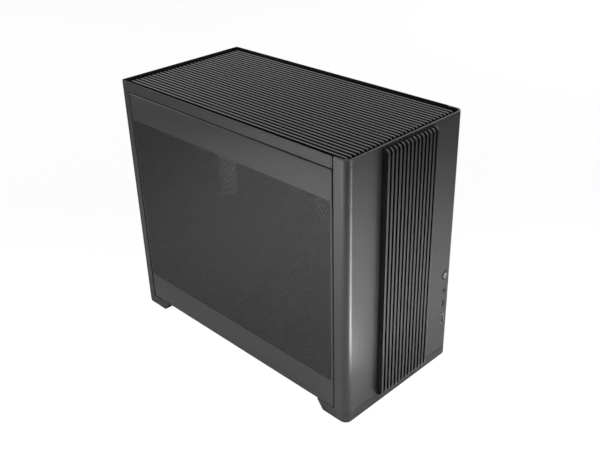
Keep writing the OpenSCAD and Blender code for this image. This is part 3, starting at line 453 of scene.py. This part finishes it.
# %% One set of webs, trimmed to the field
FIELD_ABOVE, FIELD_BELOW, FIELD_SIDE = 38, 41, 3
WEB, WEB_THICK, WEB_PITCH = 0.74, 0.91, 2.1
SHEET, FOLD, FOLD_R = 1.0, 2.6, 1.8
MIRRORED_THINNER = 0.02
panel_low, panel_high = (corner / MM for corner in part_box("left_panel"))
field_low = Vector((0, panel_low.y + FIELD_SIDE, panel_low.z + FIELD_BELOW))
field_high = Vector((0, panel_high.y - FIELD_SIDE, panel_high.z - FIELD_ABOVE))
field = field_high - field_low
field_middle = (field_high + field_low) / 2


def web_set(name, angle, shy):
    reach = (field.y + field.z) / math.sqrt(2)
    count = int(reach / WEB_PITCH) + 2
    first = -(count - 1) / 2 * WEB_PITCH
    bar = block(name, (panel_low.x + shy, -reach / 2, first - WEB / 2),
                (panel_low.x + WEB_THICK - shy, reach / 2, first + WEB / 2))
    apply_modifier(bar, "ARRAY", count=count, use_relative_offset=False,
                   use_constant_offset=True, constant_offset_displace=(0, 0, WEB_PITCH * MM))
    slant = Matrix.Rotation(math.radians(angle), 4, "X")
    bar.data.transform(Matrix.Translation(field_middle * MM) @ slant)
    for point, normal in ((field_low, (0, -1, 0)), (field_low, (0, 0, -1)),
                          (field_high, (0, 1, 0)), (field_high, (0, 0, 1))):
        pick(bar, "FACE", lambda face: True)
        bpy.ops.mesh.bisect(plane_co=point * MM, plane_no=normal, clear_outer=True, use_fill=True,
                            threshold=1e-7)
        leave_edit()
    print(name, count, "webs,", triangles(bar), "triangles")
    return bar


webs = [web_set("rising_webs", 45, 0), web_set("falling_webs", -45, MIRRORED_THINNER)]


# %% [markdown]
# The sheet round the field starts as a plane that is just as large as the field. Its rim is
# extruded out to the panel's edges, the middle is deleted, and the outer rim is extruded
# inwards as the fold. The fold's edge is rounded with a bevel, and Solidify gives the sheet
# its thickness. The two web sets are then joined to it.

# %% The folded sheet round the field
def on_rim(low, high, reach=0.02):
    def test(edge):
        middles = [vertex.co / MM for vertex in edge.verts]
        return edge.is_boundary and any(
            all(abs(co[axis] - bound[axis]) < reach for co in middles)
            for axis in (1, 2) for bound in (low, high))
    return test


bpy.ops.object.select_all(action="DESELECT")
bpy.ops.mesh.primitive_plane_add(size=1)
left_sheet = bpy.context.object
left_sheet.name = "left_side_sheet"
stand_up = Matrix(((0, 0, -1, panel_low.x), (-field.y, 0, 0, field_middle.y),
                   (0, field.z, 0, field_middle.z), (0, 0, 0, 1)))
left_sheet.data.transform(Matrix.Scale(MM, 4) @ stand_up)
pick(left_sheet, "EDGE", on_rim(field_low, field_high))
bpy.ops.mesh.extrude_edges_move()
sheet_size = panel_high - panel_low
bpy.ops.transform.resize(
    value=(1, sheet_size.y / field.y, sheet_size.z / field.z), center_override=field_middle * MM)
bpy.ops.transform.translate(
    value=(0, 0, ((panel_low.z + panel_high.z) / 2 - field_middle.z) * MM))
leave_edit()

pick(left_sheet, "FACE", lambda face: (face.calc_center_median() / MM - Vector(
    (panel_low.x, field_middle.y, field_middle.z))).length < 1)
bpy.ops.mesh.delete(type="FACE")
leave_edit()
pick(left_sheet, "EDGE", on_rim(panel_low, panel_high))
bpy.ops.mesh.extrude_edges_move(TRANSFORM_OT_translate={"value": (FOLD * MM, 0, 0)})
leave_edit()


def at_fold(edge):
    face_on = all(abs(vertex.co.x / MM - panel_low.x) < 0.01 for vertex in edge.verts)
    return face_on and len(edge.link_faces) == 2 and edge.calc_face_angle(0) > 1


pick(left_sheet, "EDGE", at_fold)
bpy.ops.mesh.bevel(offset=FOLD_R * MM, segments=4, affect="EDGES")
leave_edit()
apply_modifier(left_sheet, "SOLIDIFY", thickness=SHEET * MM, offset=-1)
left_sheet = join([left_sheet, *webs], "left_side_sheet")
bpy.ops.object.shade_smooth_by_angle(angle=math.radians(40))
print("left side sheet:", triangles(left_sheet), "triangles")

# %% [markdown]
# The right panel is the left one mirrored. A mirrored shape is turned inside out, so the copy
# has its faces flipped back.

# %% Hang both sheets
right_sheet = copy_of(left_sheet, "right_side_sheet", Matrix.Scale(-1, 4, (1, 0, 0)))
fit(left_sheet, "left_panel")
fit(right_sheet, "right_panel")

# %% [markdown]
# ## Parts that keep their shape
# These parts have the right shape in the solid model, so each is a softened copy. The
# mouldings get a wider radius than the steel, and the thin port shells hardly any.

# %% Soften them
SOFT = {
    "front_bezel": (0.6, 3),
    "front_strip": (0.4, 2),
    "top_grille": (0.4, 2),
    "top_frame": (0.3, 2),
    "rear_panel": (0.25, 1),
    "front_foot": (0.8, 3),
    "foot_pads": (0.35, 2),
    "base_pan": (0.25, 1),
    "front_frame": (0.25, 1),
    "motherboard_tray": (0.25, 1),
    "psu_bracket": (0.25, 1),
    "drive_bracket": (0.25, 1),
    "cable_grommets": (0.5, 2),
    "fan_frame": (0.5, 2),
    "mains_inlet": (0.3, 2),
    "audio_jack": (0.2, 2),
    "large_port_shell": (0.12, 2),
    "small_port_shell": (0.1, 2),
    "large_port_tongue": (0.15, 2),
    "small_port_tongue": (0.1, 2),
    "power_button": (0.35, 3),
    **{f"slot_cover_{number}": (0.2, 1) for number in range(1, 5)},
}
# The small port's shell takes the dark steel that paints the shade in its recess.
OWN_FINISH = {"small_port_shell": port_steel_painted_shade}
for node, (radius, steps) in SOFT.items():
    fit(softened(node, f"{node}_skin", radius, steps), node, finish=OWN_FINISH.get(node))

# %% [markdown]
# ## Screws
# Every screw in the solid model is a plain pin and disc. The real ones are pan heads with a
# cross recess, and on the slot covers knurled thumb screws. One of each is modelled standing
# up at the origin, and copied to the place of each plain one: its centre and its length come
# from the separate solids of the node.

# %% Find the separate solids of a node
def solids_of(node):
    piece = merged_copy(node, "measuring")
    mesh = bmesh.new()
    mesh.from_mesh(piece.data)
    boxes, seen = [], set()
    for start in mesh.verts:
        if start in seen:
            continue
        group, edge_of_group = set(), [start]
        while edge_of_group:
            vertex = edge_of_group.pop()
            if vertex not in group:
                group.add(vertex)
                edge_of_group += [edge.other_vert(vertex) for edge in vertex.link_edges]
        seen |= group
        low, high = (Vector(pick_end(v.co[axis] for v in group) for axis in range(3)) / MM
                     for pick_end in (min, max))
        boxes.append((low, high))
    mesh.free()
    bpy.data.objects.remove(piece)
    return boxes


# %% A pan head with a cross recess
def pan_screw(name, head_r, head_t, pin_r, pin_l):
    screw = rod(name, head_r, 0, head_t, 28)
    pick(screw, "EDGE", lambda edge: all(v.co.z > (head_t - 0.01) * MM for v in edge.verts))
    bpy.ops.mesh.bevel(offset=min(head_t * 0.55, head_r * 0.4) * MM, segments=4, affect="EDGES")
    leave_edit()
    for wide, long in ((0.55, 0.12), (0.12, 0.55)):
        slot = block("slot", (-head_r * wide, -head_r * long, head_t * 0.45),
                     (head_r * wide, head_r * long, head_t + 1))
        apply_modifier(screw, "BOOLEAN", object=slot, operation="DIFFERENCE", solver="EXACT")
        bpy.data.objects.remove(slot)
    pin = rod("pin", pin_r, -pin_l, 0.01, 16)
    pick(pin, "FACE", lambda face: face.normal.z < -0.9)
    bpy.ops.mesh.inset(thickness=pin_r * 0.3 * MM)
    bpy.ops.transform.translate(value=(0, 0, -pin_r * 0.3 * MM))
    leave_edit()
    screw = join([screw, pin], name)
    bpy.ops.object.shade_smooth_by_angle(angle=math.radians(35))
    return screw


# %% Put a screw in place of each plain one
OUTWARD = {"-x": Matrix.Rotation(math.radians(-90), 4, "Y"),
           "+y": Matrix.Rotation(math.radians(-90), 4, "X"),
           "+z": Matrix.Identity(4)}


def set_screws(node, side, head_t, make=pan_screw, pin_r=1.5):
    axis = "xyz".index(side[1])
    sign = 1 if side[0] == "+" else -1
    copies = []
    for low, high in solids_of(node):
        head_r = max(high[i] - low[i] for i in range(3) if i != axis) / 2
        length = high[axis] - low[axis]
        seat = (low + high) / 2
        seat[axis] = (high[axis] - head_t) if sign > 0 else (low[axis] + head_t)
        if not copies:
            model = make("model_screw", head_r, head_t, pin_r, length - head_t)
        place = Matrix.Translation(seat * MM) @ OUTWARD[side]
        copies.append(copy_of(model, f"{node}_copy", place))
    bpy.data.objects.remove(model)
    piece = join(copies, f"{node}_detailed")
    print(piece.name, "has", len(copies), "screws,", triangles(piece), "triangles")
    fit(piece, node)


set_screws("fan_screws", "+y", 2.0, pin_r=2.1)
set_screws("inlet_screws", "+y", 2.0, pin_r=1.7)
set_screws("psu_bracket_screws", "+z", 1.5, pin_r=1.8)


# %% [markdown]
# A thumb screw has a coin-like head with fine ridges round its rim. A rod with 48 sides is
# the blank: every other side face is drawn in a little, which leaves 24 ridges.

# %% Knurled thumb screws on the slot covers
def thumb_screw(name, head_r, head_t, pin_r, pin_l):
    screw = rod(name, head_r, 0, head_t, 48)
    sides = pick(screw, "FACE", lambda face: abs(face.normal.z) < 0.1 and face.index % 2 == 0)
    bpy.ops.mesh.inset(thickness=0.12 * MM, depth=-0.3 * MM, use_individual=True)
    leave_edit()
    pick(screw, "FACE", lambda face: face.normal.z > 0.9)
    bpy.ops.mesh.inset(thickness=head_r * 0.22 * MM)
    bpy.ops.mesh.inset(thickness=head_r * 0.06 * MM, depth=-0.4 * MM)
    leave_edit()
    slot = block("slot", (-head_r * 0.6, -0.5, head_t * 0.5), (head_r * 0.6, 0.5, head_t + 1))
    apply_modifier(screw, "BOOLEAN", object=slot, operation="DIFFERENCE", solver="EXACT")
    bpy.data.objects.remove(slot)
    screw = join([screw, rod("pin", pin_r, -pin_l, 0.01, 16)], name)
    bpy.ops.object.shade_smooth_by_angle(angle=math.radians(30))
    print("ridges:", sides)
    return screw


set_screws("slot_screws", "-x", 6.0, make=thumb_screw, pin_r=1.6)

# %% [markdown]
# ## Power button
# The button is a small round cap. On its face stands the usual symbol, an open ring with a
# bar, printed in a pale grey. The ring is a small square spun most of the way round, and
# the bar is a block; both stand less than a tenth of a millimetre proud of the cap.

# %% Spin the ring and set the bar
cap_low, cap_high = (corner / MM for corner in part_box("power_button"))
cap_middle = (cap_low + cap_high) / 2
cap_face = cap_low.y
RING_R, LINE, PROUD = 2.5, 0.45, 0.08
GAP_ANGLE = 70
bpy.ops.object.select_all(action="DESELECT")
bpy.ops.mesh.primitive_plane_add(size=LINE * MM, location=(RING_R * MM, 0, 0))
ring = settle(bpy.context.object)
turned = Matrix.Rotation(math.radians(-90 + GAP_ANGLE / 2), 4, "Y")
pick(ring, "FACE", lambda face: True)
bpy.ops.transform.resize(value=(1, 2 * PROUD / LINE, 1), center_override=(RING_R * MM, 0, 0))
bpy.ops.mesh.spin(steps=36, angle=math.radians(360 - GAP_ANGLE), center=(0, 0, 0), axis=(0, 1, 0))
bpy.ops.mesh.select_all(action="SELECT")
bpy.ops.mesh.normals_make_consistent(inside=False)
leave_edit()
ring.data.transform(turned)
bar = block("bar", (-LINE / 2, -PROUD, RING_R * 0.35), (LINE / 2, PROUD, RING_R * 1.25))
symbol = join([ring, bar], "power_symbol")
symbol.data.transform(Matrix.Translation(Vector((cap_middle.x, cap_face, cap_middle.z)) * MM))
fit(symbol, slot="button_plastic", body="button", finish=symbol_print)
print("symbol:", triangles(symbol), "triangles")

# %% [markdown]
# ## Small parts as they are
# Stand-offs, studs, sockets, the port board and the rotor already have the shape of the real
# ones. They keep the solid's own mesh, and only their finish is new.

# %% Finish the nodes that keep their own mesh
for name, node in nodes.items():
    if not node.hide_render:
        node.data.materials.clear()
        node.data.materials.append(finishes[slot_of[name]])

# %% [markdown]
# ## Floor
# The case stands on a plain pale floor, very faintly mottled. The camera sees most of it as
# a flat white, and the rest as it is lit, which keeps the soft shadow round the feet.

# %% Lay the floor
FLOOR_SIZE = 12
FLOOR_GLOW, SEEN_WHITE = 1.08, 0.88
bpy.ops.object.select_all(action="DESELECT")
bpy.ops.mesh.primitive_plane_add(size=FLOOR_SIZE, location=(0, 0, 0))
floor = bpy.context.object
floor.name = "floor"
paper = Finish("white floor", Roughness=0.9, Specular_IOR_Level=0.0)
paper.show(paper.blend(paper.noise(400, 2), grey(0.86), grey(0.9)))
glow = paper.add("ShaderNodeEmission", None, {"Color": (1, 1, 1, 1), "Strength": FLOOR_GLOW})
to_camera = Amount(paper, paper.add("ShaderNodeLightPath").outputs["Is Camera Ray"])
shown = paper.add("ShaderNodeMixShader", None, {0: to_camera * SEEN_WHITE})
paper.feed(shown.inputs[1], paper.surface.outputs[0])
paper.feed(shown.inputs[2], glow.outputs[0])
paper.feed(paper.tree.nodes["Material Output"].inputs["Surface"], shown.outputs[0])
floor.data.materials.append(paper.material)
print("floor", FLOOR_SIZE, "m wide")


# %% [markdown]
# ## Light
# Black satin plastic and powder coat hardly scatter light. What gives such a case its shape
# in a photograph is what it mirrors, and seen from above its upright faces mirror the floor.
# So two lamps make soft pools of light on the floor. The one in front gives the front its
# tone, and the one on the left gives the side panel a tone that falls off towards the rear.
# A narrow strip lamp lies on the floor before the corner, facing up, and draws the bright
# line down the rounded edge. Weak fills light the ribs, the rear and the right side.

# %% Make a soft lamp
def soft_light(name, place, aim, size, power, spread=180):
    data = bpy.data.lights.new(name, "AREA")
    data.shape = "RECTANGLE"
    data.size, data.size_y = size
    data.energy = power
    data.spread = math.radians(spread)
    lamp = bpy.data.objects.new(name, data)
    bpy.context.scene.collection.objects.link(lamp)
    lamp.location = place
    lamp.rotation_euler = (Vector(aim) - Vector(place)).to_track_quat("-Z", "Y").to_euler()
    lamp.visible_camera = False
    return lamp


# %% Place the lamps
STRIP_TURN = 18
soft_light("front_pool", place=(0.12, -0.66, 0.8), aim=(0.1, -0.57, 0),
           size=(0.4, 0.4), power=3.4, spread=78)
soft_light("left_pool", place=(-1.06, 0.22, 0.9), aim=(-0.9, 0.04, 0),
           size=(0.5, 0.5), power=14.5, spread=84)
strip_lamp = soft_light("corner_strip", place=(0.038, -0.575, 0.01), aim=(0.038, -0.575, 1),
                        size=(0.1, 0.55), power=2.9)
strip_lamp.rotation_euler.rotate_axis("Z", math.radians(-STRIP_TURN))
soft_light("front_strip_light", place=(0.1, -1.5, 0.3), aim=(0, -0.2, 0.15),
           size=(0.2, 0.6), power=0.8)
soft_light("rear_fill", place=(-0.5, 2.1, 0.6), aim=(0, 0.2, 0.15),
           size=(1.4, 0.9), power=10)
soft_light("right_fill", place=(2.2, 0.3, 0.8), aim=(0.1, 0.1, 0.15),
           size=(1.2, 1.2), power=12)
print(len(bpy.data.lights), "lamps")

# %% [markdown]
# ## The white round the case
# The same white studio surrounds the case from every side. The camera sees it white, and so
# do reflections and anything seen through, so the ribs of the top pick it up. As a light it
# is weak, so that the black stays black.

# %% Set the world
AMBIENT, WHITE = 0.1, 1.0
world = bpy.data.worlds.new("studio")
bpy.context.scene.world = world
world.use_nodes = True
nodes_of_world, links = world.node_tree.nodes, world.node_tree.links
path = nodes_of_world.new("ShaderNodeLightPath")
seen_white = path.outputs["Is Camera Ray"]
for kind in ("Is Glossy Ray", "Is Transmission Ray"):
    either = nodes_of_world.new("ShaderNodeMath")
    either.operation = "MAXIMUM"
    links.new(seen_white, either.inputs[0])
    links.new(path.outputs[kind], either.inputs[1])
    seen_white = either.outputs[0]
strength = nodes_of_world.new("ShaderNodeMix")
strength.inputs[2].default_value = AMBIENT
strength.inputs[3].default_value = WHITE
links.new(seen_white, strength.inputs[0])
sky = nodes_of_world["Background"]
sky.inputs["Color"].default_value = (1, 1, 1, 1)
links.new(strength.outputs[0], sky.inputs["Strength"])

# %% [markdown]
# ## Last update of the scene

# %% Update the view layer
bpy.context.view_layer.update()
